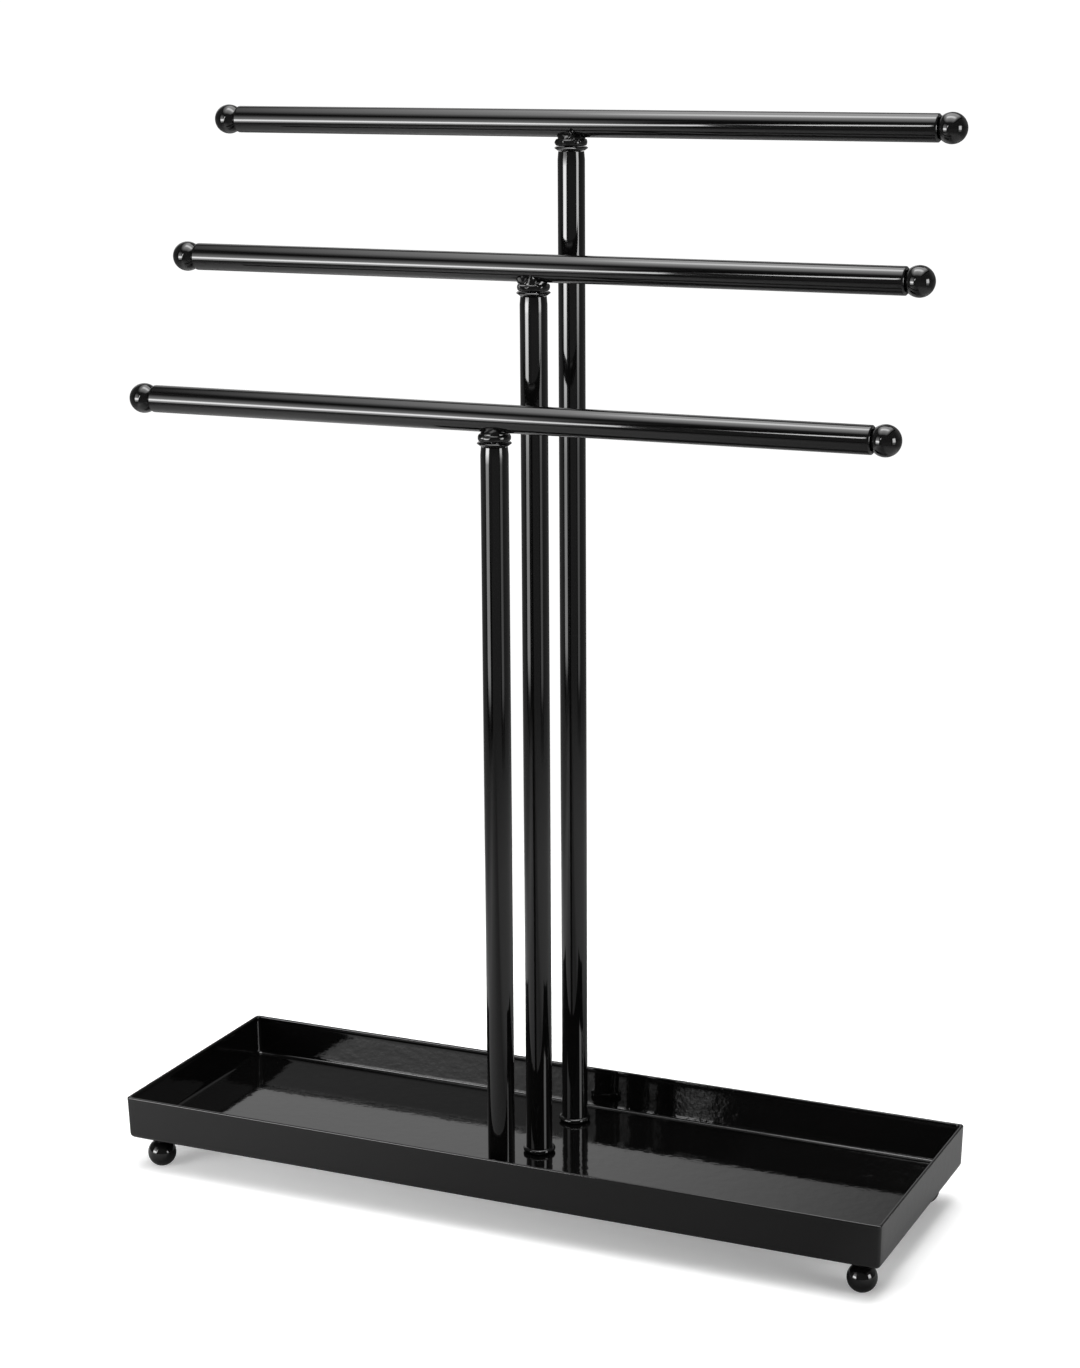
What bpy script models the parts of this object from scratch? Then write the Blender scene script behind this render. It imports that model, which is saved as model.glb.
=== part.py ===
"""Table-top valet stand: a folded steel tray on four ball feet, and three posts of rising height in a
row across it. Each post carries a level cross bar with a ball in both ends, and the bar swivels on a
threaded stud in the top of its post.

Metres, +Z up. The origin is on the ground under the middle of the tray. +X runs along the tray and the
bars, and +Y runs from the shortest post towards the tallest.
"""

import math

import bmesh
import bpy

# Tray: one sheet folded up on four sides, with its upright corners welded.
tray_length = 0.305
tray_depth = 0.102
tray_wall_height = 0.0170
tray_underside = 0.0127
sheet_thickness = 0.0008
fold_radius = 0.0020

# Ball feet, each on a stem that is welded under the tray.
foot_radius = 0.0055
foot_flat_radius = 0.0015
foot_inset = 0.0095
back_foot_inset = 0.0120
stem_neck_radius = 0.0025
stem_radius = 0.0015
stem_depth = 0.0045

# Posts and bars are cut from one size of tube.
tube_radius = 0.0050
tube_wall = 0.0012
post_end_chamfer = 0.0003
post_spacing = 0.034
lowest_bar_height = 0.300
bar_height_step = 0.0493
bar_length = 0.277
bar_end_round = 0.0008

# Ball finials: the ball meets its spigot at the mouth of the tube.
ball_standout = 0.0005
spigot_length = 0.006

# Collar under each bar, from the bar down: a neck welded to the bar, and a fat rounded bead. The neck
# is narrower than the tube, and the bead stands out from it.
neck_inset = 0.0009
neck_height = 0.0005
bead_standout = 0.0009
bead_height = 0.0025
horn_height = 0.0013

# Cap in the top of each post: a thin sharp-edged flange, and a plug inside the tube.
flange_standout = 0.0012
flange_height = 0.0014
flange_edge_drop = 0.0005
plug_length = 0.014

# Ring round the foot of each post.
ring_standout = 0.0012
ring_height = 0.0019

# Stud on which the bar turns, and the screw and washer that hold the post.
stud_radius = 0.0025
stud_engagement = 0.011
screw_radius = 0.0020
screw_engagement = 0.010
screw_head_radius = 0.0036
screw_head_height = 0.0024
socket_across_corners = 0.0029
socket_depth = 0.0014
washer_radius = 0.0046
washer_thickness = 0.0008
thread_chamfer = 0.0004

# Clearances: between fixed neighbours, and round the stud that turns in its cap.
contact_gap = 0.0003
swivel_clearance = 0.0001

# Facets round a turned shape, and along the arc of a ball, a bead and a fold.
visible_facets = 20
hidden_facets = 12
ball_facets = 16
ball_arc_steps = 8
bead_arc_steps = 4
bar_end_steps = 2
fold_steps = 4

tube_bore = tube_radius - tube_wall
ball_radius = tube_radius + ball_standout
neck_radius = tube_radius - neck_inset
bead_radius = tube_radius + bead_standout
flange_radius = tube_radius + flange_standout
ring_radius = tube_radius + ring_standout
insert_radius = tube_bore - contact_gap
floor_top = tray_underside + sheet_thickness
post_foot = floor_top + contact_gap
bead_top = tube_radius + neck_height
bead_bottom = bead_top + bead_height
flange_top = bead_bottom + contact_gap
post_top_drop = flange_top + flange_height + contact_gap


def clear_scene():
    for obj in list(bpy.data.objects):
        bpy.data.objects.remove(obj, do_unlink=True)


def new_collection(name):
    collection = bpy.data.collections.new(name)
    bpy.context.scene.collection.children.link(collection)
    return collection


def paint(name, colour, roughness, metallic):
    """A Principled material."""
    material = bpy.data.materials.new(name)
    material.use_nodes = True
    shader = material.node_tree.nodes["Principled BSDF"]
    shader.inputs["Base Color"].default_value = (*colour, 1.0)
    shader.inputs["Roughness"].default_value = roughness
    shader.inputs["Metallic"].default_value = metallic
    return material


def place(obj, collection, material=None, parent=None):
    collection.objects.link(obj)
    if material:
        obj.data.materials.append(material)
    obj.parent = parent
    return obj


def smooth(mesh):
    """Shades a round piece smooth, with its real edges left sharp."""
    mesh.shade_smooth()
    mesh.set_sharp_from_angle(angle=math.radians(35))


def turned(name, profile, facets, hollow=False):
    """A turned object from (radius, height) points. A solid profile runs from the axis at the top down
    its outer side to the axis at the bottom. A hollow one runs down its outer side and closes on itself
    up its bore.
    """
    outline = bpy.data.meshes.new(name + "_profile")
    edges = [(i, i + 1) for i in range(len(profile) - 1)]
    if hollow:
        edges.append((len(profile) - 1, 0))
    outline.from_pydata([(radius, 0, height) for radius, height in profile], edges, [])
    obj = bpy.data.objects.new(name, outline)
    bpy.context.scene.collection.objects.link(obj)
    screw = obj.modifiers.new("turn", "SCREW")
    screw.steps = facets
    screw.render_steps = facets
    screw.use_merge_vertices = True
    screw.merge_threshold = 0.00001
    solid = bpy.data.meshes.new_from_object(
        obj.evaluated_get(bpy.context.evaluated_depsgraph_get())
    )
    obj.modifiers.clear()
    obj.data = solid
    bpy.data.meshes.remove(outline)
    bpy.context.scene.collection.objects.unlink(obj)
    solid.name = name
    smooth(solid)
    return obj


def arc(radius, start, end, steps, height=0.0):
    """Points on a circle round the axis at this height, from one angle above the level to another."""
    angles = [start + (end - start) * i / steps for i in range(steps + 1)]
    return [(radius * math.cos(a), height + radius * math.sin(a)) for a in angles]


def bulge(inner, outer, top, bottom, steps):
    """Half an ellipse that swells from the inner radius to the outer one and back, top to bottom."""
    middle = (top + bottom) / 2
    half = (top - bottom) / 2
    angles = [math.pi / 2 - math.pi * i / steps for i in range(steps + 1)]
    return [
        (inner + (outer - inner) * math.cos(a), middle + half * math.sin(a))
        for a in angles
    ]


def tube_profile(length, end_round, steps):
    """Wall of a tube along its own axis, with its outer edges rounded."""
    rounding = [
        (
            tube_radius - end_round + end_round * math.sin(math.pi / 2 * i / steps),
            length - end_round + end_round * math.cos(math.pi / 2 * i / steps),
        )
        for i in range(steps + 1)
    ]
    lower = [(radius, length - height) for radius, height in reversed(rounding)]
    return rounding + lower + [(tube_bore, 0), (tube_bore, length)]


def cutting_cylinder(name, radius, depth, facets, location, rotation=(0, 0, 0)):
    """A cutter for a Boolean, which is not a part of the object."""
    mesh = bpy.data.meshes.new(name)
    shape = bmesh.new()
    bmesh.ops.create_cone(
        shape, cap_ends=True, segments=facets, radius1=radius, radius2=radius, depth=depth
    )
    shape.to_mesh(mesh)
    shape.free()
    cutter = place(bpy.data.objects.new(name, mesh), cutters)
    cutter.location = location
    cutter.rotation_euler = rotation
    cutter.hide_render = True
    cutter.display_type = "WIRE"
    return cutter


def cut(obj, cutter):
    boolean = obj.modifiers.new(cutter.name, "BOOLEAN")
    boolean.operation = "DIFFERENCE"
    boolean.solver = "EXACT"
    boolean.object = cutter


def make_tray():
    """Open box with a folded bottom edge, grown inwards to the thickness of the sheet."""
    mesh = bpy.data.meshes.new("tray")
    shape = bmesh.new()
    bmesh.ops.create_cube(shape, size=1)
    bmesh.ops.scale(
        shape, vec=(tray_length, tray_depth, tray_wall_height), verts=shape.verts
    )
    bmesh.ops.translate(
        shape, vec=(0, 0, tray_underside + tray_wall_height / 2), verts=shape.verts
    )
    lid = [face for face in shape.faces if face.normal.z > 0.5]
    bmesh.ops.delete(shape, geom=lid, context="FACES_ONLY")
    bottom = [face for face in shape.faces if face.normal.z < -0.5]
    bmesh.ops.bevel(
        shape,
        geom=list(bottom[0].edges),
        offset=fold_radius,
        offset_type="OFFSET",
        segments=fold_steps,
        profile=0.5,
        affect="EDGES",
    )
    shape.to_mesh(mesh)
    shape.free()
    smooth(mesh)
    tray = place(bpy.data.objects.new("tray", mesh), stand, tray_paint)
    wall = tray.modifiers.new("sheet", "SOLIDIFY")
    wall.thickness = sheet_thickness
    wall.offset = -1
    wall.use_even_offset = True
    return tray


def make_foot(corner, x, y):
    """Ball with a small flat to stand on, bored from above for the stem that is welded to the tray."""
    centre = math.sqrt(foot_radius**2 - foot_flat_radius**2)
    bore = stem_radius + contact_gap
    top = math.acos(bore / foot_radius)
    foot = math.acos(foot_flat_radius / foot_radius)
    bore_floor = 2 * foot_radius - stem_depth - contact_gap
    profile = [(0, bore_floor), (bore, bore_floor)]
    profile += arc(foot_radius, top, -foot, ball_arc_steps, centre)
    profile.append((0, 0))
    ball = place(turned(f"foot_ball_{corner}", profile, ball_facets), stand, foot_paint)
    ball.location = (x, y, 0)

    shoulder = 2 * foot_radius
    stem_end = shoulder - stem_depth
    profile = [
        (0, tray_underside - contact_gap),
        (stem_neck_radius, tray_underside - contact_gap),
        (stem_neck_radius, shoulder),
        (stem_radius, shoulder),
        (stem_radius, stem_end + thread_chamfer),
        (stem_radius - thread_chamfer, stem_end),
        (0, stem_end),
    ]
    stem = place(turned(f"foot_stem_{corner}", profile, hidden_facets), stand, steel)
    stem.location = (x, y, 0)


def make_post(row, y, bar_height):
    """Tube between the tray floor and the flange of its cap."""
    length = bar_height - post_top_drop - post_foot
    profile = tube_profile(length, post_end_chamfer, 1)
    post = turned(f"{row}_post", profile, visible_facets, hollow=True)
    place(post, stand, post_paint)
    post.location = (0, y, post_foot)

    profile = bulge(
        tube_radius + contact_gap, ring_radius, ring_height, 0, bead_arc_steps
    )
    ring = turned(f"{row}_base_ring", profile, visible_facets, hollow=True)
    place(ring, stand, collar_paint)
    ring.location = (0, y, post_foot)


def make_post_fixing(row, y, tray):
    """Threaded plug in the foot of the post, and the screw and washer that pull it down on the tray."""
    bore = screw_radius + contact_gap
    profile = [
        (insert_radius - thread_chamfer, plug_length),
        (insert_radius, plug_length - thread_chamfer),
        (insert_radius, 0),
        (bore, 0),
        (bore, plug_length),
    ]
    plug = turned(f"{row}_base_plug", profile, hidden_facets, hollow=True)
    place(plug, stand, steel)
    plug.location = (0, y, post_foot)

    washer_top = tray_underside - contact_gap
    washer_bottom = washer_top - washer_thickness
    profile = [
        (washer_radius, washer_top),
        (washer_radius, washer_bottom),
        (bore, washer_bottom),
        (bore, washer_top),
    ]
    washer = turned(f"{row}_washer", profile, hidden_facets, hollow=True)
    place(washer, stand, zinc)
    washer.location = (0, y, 0)

    head_top = washer_bottom - contact_gap
    head_bottom = head_top - screw_head_height
    screw_end = post_foot + screw_engagement
    head_round = screw_head_height / 3
    profile = [
        (0, screw_end),
        (screw_radius - thread_chamfer, screw_end),
        (screw_radius, screw_end - thread_chamfer),
        (screw_radius, head_top),
        (screw_head_radius, head_top),
        (screw_head_radius, head_bottom + head_round),
        (screw_head_radius - head_round, head_bottom),
        (0, head_bottom),
    ]
    screw = place(turned(f"{row}_fixing_screw", profile, hidden_facets), stand, zinc)
    screw.location = (0, y, 0)
    socket = cutting_cylinder(
        f"{row}_socket_cutter",
        socket_across_corners / 2,
        2 * socket_depth,
        6,
        (0, y, head_bottom),
    )
    cut(screw, socket)

    hole = cutting_cylinder(
        f"{row}_tray_hole_cutter",
        bore,
        4 * sheet_thickness,
        hidden_facets,
        (0, y, tray_underside + sheet_thickness / 2),
    )
    cut(tray, hole)


def make_post_cap(row, y, bar_height):
    """Flange on top of the post, and the plug below it that takes the stud."""
    bore = stud_radius + swivel_clearance
    plug_end = -contact_gap - flange_height - plug_length
    profile = [
        (tube_radius, 0),
        (flange_radius, -flange_edge_drop),
        (tube_radius, -flange_height),
        (insert_radius, -flange_height),
        (insert_radius, plug_end + thread_chamfer),
        (insert_radius - thread_chamfer, plug_end),
        (bore, plug_end),
        (bore, 0),
    ]
    cap = turned(f"{row}_post_cap", profile, visible_facets, hollow=True)
    place(cap, stand, collar_paint)
    cap.location = (0, y, bar_height - flange_top)


def make_swivel(row, y, bar_height):
    """Empty on the axis about which the bar turns, at the height of the bar."""
    swivel = bpy.data.objects.new(f"{row}_swivel", None)
    swivel.empty_display_size = 0.02
    swivel.location = (0, y, bar_height)
    stand.objects.link(swivel)
    return swivel


def make_collar(row, swivel, y, bar_height):
    """Bead and neck under the bar, saddled to the round of the tube, and the stud up its middle."""
    bore = stud_radius + swivel_clearance
    horn_top = horn_height - tube_radius
    profile = [(neck_radius, horn_top), (neck_radius, -bead_top)]
    profile += bulge(
        neck_radius, bead_radius, -bead_top, -bead_bottom, bead_arc_steps
    )[1:]
    profile += [(bore, -bead_bottom), (bore, horn_top)]
    collar = turned(f"{row}_collar", profile, visible_facets, hollow=True)
    place(collar, stand, collar_paint, swivel)
    saddle = cutting_cylinder(
        f"{row}_saddle_cutter",
        tube_radius + contact_gap,
        4 * bead_radius,
        2 * visible_facets,
        (0, y, bar_height),
        (0, math.pi / 2, 0),
    )
    cut(collar, saddle)

    stud_top = -tube_radius - 2 * contact_gap
    stud_end = -flange_top - stud_engagement
    profile = [
        (0, stud_top),
        (stud_radius, stud_top),
        (stud_radius, stud_end + thread_chamfer),
        (stud_radius - thread_chamfer, stud_end),
        (0, stud_end),
    ]
    stud = turned(f"{row}_swivel_stud", profile, hidden_facets)
    place(stud, stand, steel, swivel)


def make_bar(row, swivel):
    """Level tube across the top of the post, with a ball seated in each end."""
    profile = tube_profile(bar_length, bar_end_round, bar_end_steps)
    bar = turned(f"{row}_bar", profile, visible_facets, hollow=True)
    place(bar, stand, bar_paint, swivel)
    bar.rotation_euler = (0, math.pi / 2, 0)
    bar.location = (-bar_length / 2, 0, 0)

    seat = math.acos(insert_radius / ball_radius)
    seat_depth = ball_radius * math.sin(seat)
    profile = arc(ball_radius, math.pi / 2, -seat, ball_arc_steps)
    spigot_end = -seat_depth - spigot_length
    profile += [
        (insert_radius, spigot_end + thread_chamfer),
        (insert_radius - thread_chamfer, spigot_end),
        (0, spigot_end),
    ]
    for side, sign in (("left", -1), ("right", 1)):
        ball = turned(f"{row}_{side}_ball", profile, ball_facets)
        place(ball, stand, ball_paint, swivel)
        ball.rotation_euler = (0, sign * math.pi / 2, 0)
        ball.location = (sign * (bar_length / 2 + seat_depth), 0, 0)


clear_scene()
stand = new_collection("valet_stand")
cutters = new_collection("cutters")

black = (0.006, 0.006, 0.007)
tray_paint = paint("tray_enamel", black, 0.10, 0.0)
post_paint = paint("post_enamel", black, 0.12, 0.0)
bar_paint = paint("bar_enamel", black, 0.12, 0.0)
ball_paint = paint("ball_enamel", black, 0.09, 0.0)
foot_paint = paint("foot_enamel", black, 0.09, 0.0)
collar_paint = paint("collar_enamel", black, 0.16, 0.0)
steel = paint("bright_steel", (0.52, 0.52, 0.53), 0.30, 1.0)
zinc = paint("zinc_plate", (0.62, 0.64, 0.66), 0.35, 1.0)

stand_tray = make_tray()

for depth_name, depth_sign, end_inset in (
    ("front", -1, foot_inset),
    ("back", 1, back_foot_inset),
):
    for side_name, side_sign in (("left", -1), ("right", 1)):
        make_foot(
            f"{depth_name}_{side_name}",
            side_sign * (tray_length / 2 - end_inset),
            depth_sign * (tray_depth / 2 - foot_inset),
        )

for number, row_name in enumerate(("front", "middle", "back")):
    row_y = (number - 1) * post_spacing
    height = lowest_bar_height + number * bar_height_step
    make_post(row_name, row_y, height)
    make_post_fixing(row_name, row_y, stand_tray)
    make_post_cap(row_name, row_y, height)
    row_swivel = make_swivel(row_name, row_y, height)
    make_collar(row_name, row_swivel, row_y, height)
    make_bar(row_name, row_swivel)
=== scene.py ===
# %% [markdown]
# # A three-bar valet stand in gloss black enamel
#
# The stand is a folded steel tray on ball feet, with three tube posts that carry swivelling bars. Every
# piece is built here as a surface worked out with numpy, and laid over the plain solid that gives its size
# and place. A small helper function per kind of surface keeps each cell short.

# %% Load the frame
import math

import bmesh
import bpy
import numpy as np
from mathutils import Matrix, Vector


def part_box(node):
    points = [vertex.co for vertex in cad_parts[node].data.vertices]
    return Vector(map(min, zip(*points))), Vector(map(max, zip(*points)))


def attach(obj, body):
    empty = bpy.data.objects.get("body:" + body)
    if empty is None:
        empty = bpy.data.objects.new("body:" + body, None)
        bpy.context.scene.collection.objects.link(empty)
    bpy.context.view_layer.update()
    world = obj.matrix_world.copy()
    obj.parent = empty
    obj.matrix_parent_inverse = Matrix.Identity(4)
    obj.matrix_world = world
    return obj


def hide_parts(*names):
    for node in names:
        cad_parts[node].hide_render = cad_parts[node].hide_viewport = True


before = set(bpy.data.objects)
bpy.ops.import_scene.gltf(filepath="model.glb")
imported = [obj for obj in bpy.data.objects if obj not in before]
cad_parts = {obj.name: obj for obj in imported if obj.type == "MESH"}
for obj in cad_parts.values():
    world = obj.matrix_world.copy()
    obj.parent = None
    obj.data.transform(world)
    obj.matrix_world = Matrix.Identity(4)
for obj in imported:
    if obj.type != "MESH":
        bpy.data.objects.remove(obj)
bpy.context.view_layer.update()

rows = ("front", "middle", "back")
mm = 0.001

# %% [markdown]
# ## Camera
#
# A product portrait is taken from a little above the table with a short telephoto lens, so that the bars
# stay nearly parallel. The camera is placed by its position and three angles: how far it is turned from
# looking along +Y, how far it looks down, and a small roll. Its axes follow from those, which needs no
# aiming constraint.

# %% Camera
camera_place = (0.4298, -0.9451, 0.4432)
camera_turn, camera_tilt, camera_roll = (math.radians(a) for a in (24.377, -13.340, -0.379))


def camera_axes(turn, tilt, roll):
    """Right, up and backward directions of a camera that looks along +Y before it is turned about Z,
    tilted up or down and rolled about its own line of sight."""
    look = np.array([-math.sin(turn) * math.cos(tilt), math.cos(turn) * math.cos(tilt), math.sin(tilt)])
    level = np.array([math.cos(turn), math.sin(turn), 0.0])
    upright = np.cross(level, look)
    right = level * math.cos(roll) + upright * math.sin(roll)
    up = upright * math.cos(roll) - level * math.sin(roll)
    return np.column_stack([right, up, -look])


lens = bpy.data.cameras.new("portrait_lens")
lens.lens = 76.23
lens.sensor_width = 36.0
lens.clip_start = 0.01
camera = bpy.data.objects.new("portrait_camera", lens)
camera.matrix_world = Matrix.Translation(camera_place) @ Matrix(
    camera_axes(camera_turn, camera_tilt, camera_roll).tolist()
).to_4x4()
bpy.context.scene.collection.objects.link(camera)
bpy.context.scene.camera = camera
print("camera:", camera_place, "lens", lens.lens, "mm")

# %% [markdown]
# ## Shader arithmetic
#
# A finish is easier to read as a formula than as a web of nodes. `Number` wraps one output socket, and
# Python's operators on it add Math nodes. `Recipe` holds one node tree and makes every other node through
# one method: first the settings, then the values or links of the sockets.


# %% Shader helpers
class Number:
    """A value that varies over a surface."""

    def __init__(self, recipe, socket):
        self.recipe = recipe
        self.socket = socket

    def joined(self, operation, first, second):
        made = self.recipe.node("ShaderNodeMath", {"operation": operation}, {0: first, 1: second})
        return Number(self.recipe, made.outputs[0])

    def __add__(self, other):
        return self.joined("ADD", self, other)

    def __radd__(self, other):
        return self.joined("ADD", other, self)

    def __sub__(self, other):
        return self.joined("SUBTRACT", self, other)

    def __rsub__(self, other):
        return self.joined("SUBTRACT", other, self)

    def __mul__(self, other):
        return self.joined("MULTIPLY", self, other)

    def __rmul__(self, other):
        return self.joined("MULTIPLY", other, self)


class Recipe:
    """One node tree, with short ways to add what a finish needs."""

    def __init__(self, owner):
        owner.use_nodes = True
        self.owner = owner
        self.tree = owner.node_tree
        self.tree.nodes.clear()

    def node(self, kind, settings=None, sockets=None):
        """A node of this kind: its settings are set first, and then its sockets' values or links."""
        made = self.tree.nodes.new(kind)
        settings = dict(settings or {})
        stops = settings.pop("stops", None)
        for key, value in settings.items():
            setattr(made, key, value)
        if stops:
            ramp = made.color_ramp.elements
            while len(ramp) < len(stops):
                ramp.new(0.5)
            for element, (position, level) in zip(ramp, stops):
                element.position = position
                element.color = (level, level, level, 1.0)
        for key, value in (sockets or {}).items():
            value = value.socket if isinstance(value, Number) else value
            if isinstance(value, bpy.types.NodeSocket):
                self.tree.links.new(value, made.inputs[key])
            else:
                made.inputs[key].default_value = value
        return made

    def position(self, scale=(1, 1, 1)):
        """The point on the piece, in metres, stretched along each axis."""
        point = self.node("ShaderNodeTexCoord").outputs["Object"]
        sockets = {"Vector": point, "Scale": scale}
        return self.node("ShaderNodeMapping", None, sockets).outputs["Vector"]

    def noise(self, point, lumps_per_metre, detail=1.0):
        """Soft noise around 0.5, with this many lumps to the metre."""
        sockets = {"Vector": point, "Scale": lumps_per_metre, "Detail": detail, "Roughness": 0.5}
        return Number(self, self.node("ShaderNodeTexNoise", None, sockets).outputs["Fac"])

    def ramp(self, value, *stops):
        """The value sent through a ramp of (position, level) stops."""
        made = self.node("ShaderNodeValToRGB", {"stops": stops}, {"Fac": value})
        return Number(self, made.outputs["Color"])

    def blend(self, share, first, second):
        """A colour between two others."""
        sockets = {0: share, 6: (*first, 1.0), 7: (*second, 1.0)}
        return self.node("ShaderNodeMix", {"data_type": "RGBA"}, sockets).outputs[2]

    def send(self, shader, kind="ShaderNodeOutputMaterial"):
        """Links the shader to the tree's output, and gives back what owns the tree."""
        output = self.node(kind)
        self.tree.links.new(shader.outputs[0], output.inputs["Surface"])
        return self.owner

    def finish(self, sockets, height=None, depth=0.0):
        """A Principled surface, with the height pressed into it as a bump of this depth in metres."""
        if height is not None:
            bump = self.node("ShaderNodeBump", None, {"Distance": depth, "Height": height})
            sockets["Normal"] = bump.outputs["Normal"]
        return self.send(self.node("ShaderNodeBsdfPrincipled", None, sockets))


# %% [markdown]
# ## Gloss black enamel
#
# Stoved enamel is a dark glossy film. What gives it away as paint is orange peel: the film levels into
# soft lumps one or two millimetres across, so that a mirrored edge comes out ragged. Here and there a
# grain of dust sits under the film. Orange peel could be sculpted or pushed out by a displacement, but it is
# far too shallow for that, so it is two layers of noise in a bump: four hundredths of a millimetre deep on
# the tray, and less than one on tube and balls. On drawn tube the lumps are stretched along the tube.


# %% Enamel
def enamel(slot, peel, stretch=(1, 1, 1), gloss=0.055, film=0.0022):
    """Black enamel: peel is the depth of its orange peel in metres."""
    mix = Recipe(bpy.data.materials.new(slot + "_film"))
    plain = mix.position()
    drawn = mix.position(stretch)
    lumps = mix.noise(drawn, 270) * 0.8 + mix.noise(drawn, 900) * 0.2
    cells = mix.node(
        "ShaderNodeTexVoronoi", {"feature": "F1"}, {"Vector": plain, "Scale": 210, "Randomness": 1.0}
    )
    grain = mix.ramp(Number(mix, cells.outputs["Distance"]), (0.0, 1.0), (0.07, 0.0))
    sparse = mix.ramp(mix.noise(plain, 60), (0.52, 0.0), (0.60, 1.0))
    clouds = mix.noise(plain, 45, 3.0)
    sockets = {
        "Base Color": mix.blend(clouds, (film * 0.8,) * 3, (film * 1.25, film * 1.2, film * 1.2)),
        "Roughness": clouds * 0.03 + (gloss - 0.015),
        "IOR": 1.5,
    }
    return mix.finish(sockets, lumps + grain * sparse * 0.5, peel)


finishes = {
    "tray_enamel": enamel("tray_enamel", 0.040 * mm),
    "post_enamel": enamel("post_enamel", 0.006 * mm, (1, 1, 0.2)),
    "bar_enamel": enamel("bar_enamel", 0.005 * mm, (0.2, 1, 1)),
    "ball_enamel": enamel("ball_enamel", 0.006 * mm),
    "foot_enamel": enamel("foot_enamel", 0.006 * mm),
    "collar_enamel": enamel("collar_enamel", 0.015 * mm, gloss=0.10),
}
print("enamels:", sorted(finishes))

# %% [markdown]
# ## Turned steel and zinc plate
#
# What the enamel doesn't reach is bare: studs, plugs and stems are turned bright steel, with the fine
# rings that a lathe tool leaves, and screws and washers are zinc plated, with the faint crystal patches
# called spangle. Both are metals, so their colour sits in the reflection.


# %% Steel and zinc
def turned_steel(slot):
    """Bright steel with tool rings: noise that changes only along the upright axis."""
    mix = Recipe(bpy.data.materials.new(slot + "_metal"))
    rings = mix.noise(mix.position((0.02, 0.02, 1)), 6000, 2.0)
    stain = mix.noise(mix.position(), 300, 3.0)
    sockets = {
        "Base Color": mix.blend(stain, (0.44, 0.44, 0.45), (0.60, 0.60, 0.61)),
        "Roughness": stain * 0.14 + 0.20,
        "Metallic": 1.0,
    }
    return mix.finish(sockets, rings, 0.006 * mm)


def zinc_plate(slot):
    """Zinc plate: patches of crystal that differ a little in colour and gloss."""
    mix = Recipe(bpy.data.materials.new(slot + "_metal"))
    point = mix.position()
    crystals = mix.node("ShaderNodeTexVoronoi", {"feature": "F1"}, {"Vector": point, "Scale": 900})
    patch = Number(mix, crystals.outputs["Color"])
    pits = mix.noise(point, 2500, 2.0)
    sockets = {
        "Base Color": mix.blend(patch, (0.54, 0.57, 0.62), (0.69, 0.69, 0.68)),
        "Roughness": patch * 0.15 + 0.25,
        "Metallic": 1.0,
    }
    return mix.finish(sockets, pits, 0.008 * mm)


finishes["bright_steel"] = turned_steel("bright_steel")
finishes["zinc_plate"] = zinc_plate("zinc_plate")

# %% [markdown]
# ## From numbers to a mesh
#
# A surface is a grid of points: one index runs along a profile, the other round the piece. `make` joins
# each point to its neighbours with four-sided faces, closes the grid round the piece, welds rows that
# shrink to a point, gives the piece its finish, hangs it on its moving body and hides the plain solid it
# stands for.


# %% Mesh helpers
def skin(mesh, grid, ring_closed):
    """Fills the mesh with the grid's quads. Columns close round the piece, and rows close too where the
    profile is a loop. Points that fall together are welded, and faces are turned outwards."""
    count, around = grid.shape[:2]
    index = np.arange(count * around).reshape(count, around)
    if ring_closed:
        index = np.vstack([index, index[:1]])
    index = np.hstack([index, index[:, :1]])
    quads = np.stack([index[:-1, :-1], index[1:, :-1], index[1:, 1:], index[:-1, 1:]], -1)
    mesh.from_pydata(grid.reshape(-1, 3).tolist(), [], quads.reshape(-1, 4).tolist())
    shape = bmesh.new()
    shape.from_mesh(mesh)
    bmesh.ops.remove_doubles(shape, verts=shape.verts, dist=0.002 * mm)
    bmesh.ops.recalc_face_normals(shape, faces=shape.faces)
    shape.to_mesh(mesh)
    shape.free()


def make(name, grid, slot, body, node, ring_closed=False, sharp=50):
    """The finished piece, in place of one node of the frame."""
    mesh = bpy.data.meshes.new(name)
    skin(mesh, grid, ring_closed)
    mesh.shade_smooth()
    mesh.set_sharp_from_angle(angle=math.radians(sharp))
    mesh.materials.append(finishes[slot])
    piece = bpy.data.objects.new(name, mesh)
    bpy.context.scene.collection.objects.link(piece)
    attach(piece, body)
    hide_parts(node)
    return piece


def limits(node):
    """Lowest and highest corner of a node of the frame, as arrays."""
    low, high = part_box(node)
    return np.array(low), np.array(high)


# %% [markdown]
# ## Profiles
#
# A turned piece is drawn as half its outline: pairs of radius and height. Real edges are never perfectly
# sharp, and paint rounds them further, so `rounded` swaps each corner for a short curve. `finer` adds
# points along long sides, and `turn` carries the outline round the axis.


# %% Profile helpers
def rounded(corners, reach, steps=5, closed=False):
    """Each corner gives way to a curve that leaves one side at this distance from the corner and joins
    the next side at the same distance: (1-t)^2 start + 2t(1-t) corner + t^2 end."""
    corners = np.array(corners, float)
    if closed:
        corners = np.vstack([corners[-1:], corners, corners[:1]])
    corner = corners[1:-1]
    before = corners[:-2] - corner
    after = corners[2:] - corner
    long_before = np.linalg.norm(before, axis=1, keepdims=True)
    long_after = np.linalg.norm(after, axis=1, keepdims=True)
    reach = np.broadcast_to(np.reshape(reach, (-1, 1)), long_before.shape)
    start = corner + before * np.minimum(reach / long_before, 0.45)
    end = corner + after * np.minimum(reach / long_after, 0.45)
    t = np.linspace(0, 1, steps + 1)[None, :, None]
    curves = (1 - t) ** 2 * start[:, None] + 2 * t * (1 - t) * corner[:, None] + t**2 * end[:, None]
    points = curves.reshape(-1, 2)
    return points if closed else np.vstack([corners[:1], points, corners[-1:]])


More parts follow.
